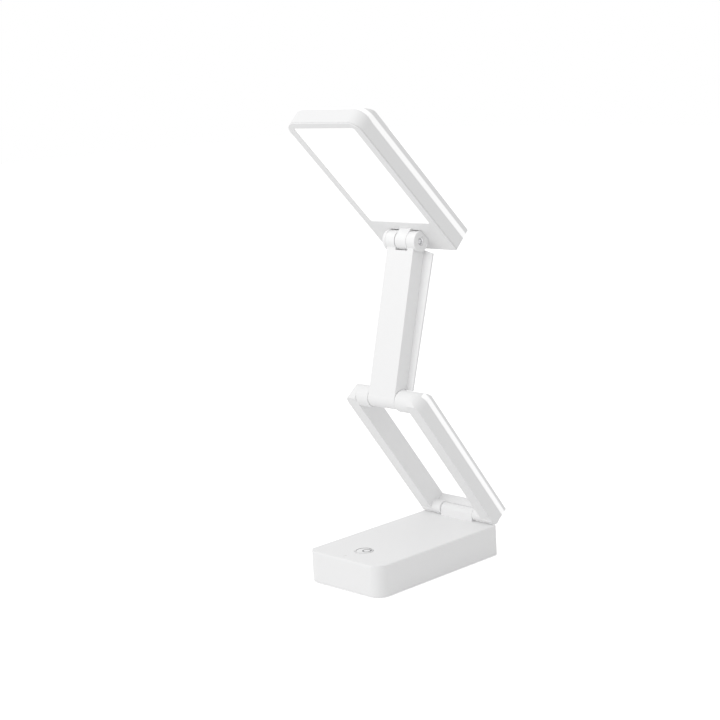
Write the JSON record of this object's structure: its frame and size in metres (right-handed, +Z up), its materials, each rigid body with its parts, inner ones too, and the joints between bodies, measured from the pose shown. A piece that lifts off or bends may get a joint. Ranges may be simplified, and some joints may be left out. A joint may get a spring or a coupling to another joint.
{
  "type": "folding desk lamp",
  "caption": "Small white cordless desk lamp that folds flat: slab base, open frame arm, slim upper arm and a flat light panel on friction hinges.",
  "frame": {"origin": "On the table, in the middle of the base's outline.", "axes": "X runs along the hinges, the front with the button looks along -Y, and +Z is up."},
  "size_m": [0.06, 0.1145, 0.2787],
  "materials": {
    "white_shell": "satin white",
    "white_gloss": "gloss white",
    "diffuser": "opal white",
    "rubber_pad": "matt grey",
    "steel": "plain steel",
    "socket_metal": "nickel plated",
    "bush_plastic": "natural acetal",
    "board": "green solder mask",
    "led_board": "white coated",
    "led": "yellow phosphor",
    "dark_part": "black",
    "cell": "wrapped cell",
    "wire": "insulated wire"
  },
  "bodies": {
    "base": {"base_housing": "white_shell", "base_cover": "white_shell", "base_pad": "rubber_pad", "ballast_plate": "steel", "battery_pack": "cell", "control_board": "board", "board_components": "dark_part", "charge_socket": "socket_metal", "switch_board": "board", "switch_body": "dark_part", "indicator_lens": "white_gloss", "base_screws": "steel", "board_screws": "steel", "shoulder_bush": "bush_plastic"},
    "button": {"power_button": "white_shell", "switch_plunger": "dark_part"},
    "lower_arm": {"lower_front_shell": "white_shell", "lower_band": "white_gloss", "lower_back_shell": "white_shell", "lower_screws": "steel", "lower_wires": "wire", "shoulder_pin": "steel", "shoulder_washers": "steel", "elbow_pin": "steel", "elbow_washers": "steel"},
    "upper_arm": {"upper_front_shell": "white_shell", "upper_back_cover": "white_shell", "upper_screws": "steel", "upper_wires": "wire", "elbow_bush": "bush_plastic", "head_pin": "steel", "head_washers": "steel"},
    "head": {"head_front_shell": "white_shell", "diffuser": "diffuser", "reflector": "white_gloss", "led_board": "led_board", "led_chips": "led", "head_band": "white_gloss", "head_back_shell": "white_shell", "head_screws": "steel", "head_bush": "bush_plastic"}
  },
  "joints": [
    {"name": "shoulder_hinge", "type": "hinge", "parent": "base", "child": "lower_arm", "pos_m": [0, 0.05215, 0.0235], "axis": [-1, 0, 0], "range_deg": [-53.05, 62]},
    {"name": "elbow_hinge", "type": "hinge", "parent": "lower_arm", "child": "upper_arm", "pos_m": [0, -0.00739, 0.10648], "axis": [1, 0, 0], "range_deg": [-127.4, 33]},
    {"name": "head_hinge", "type": "hinge", "parent": "upper_arm", "child": "head", "pos_m": [0, 0.01453, 0.198], "axis": [-1, 0, 0], "range_deg": [-120, 31.5]},
    {"name": "power_press", "type": "slide", "parent": "base", "child": "button", "axis": [0, 0, -1], "range_m": [0, 0.0005], "stiffness_N_per_m": 1500, "springref_m": -0.0002}
  ],
  "couplings": [
    {"joint": "head_hinge", "follows": "elbow_hinge", "ratio": 0.94113}
  ]
}
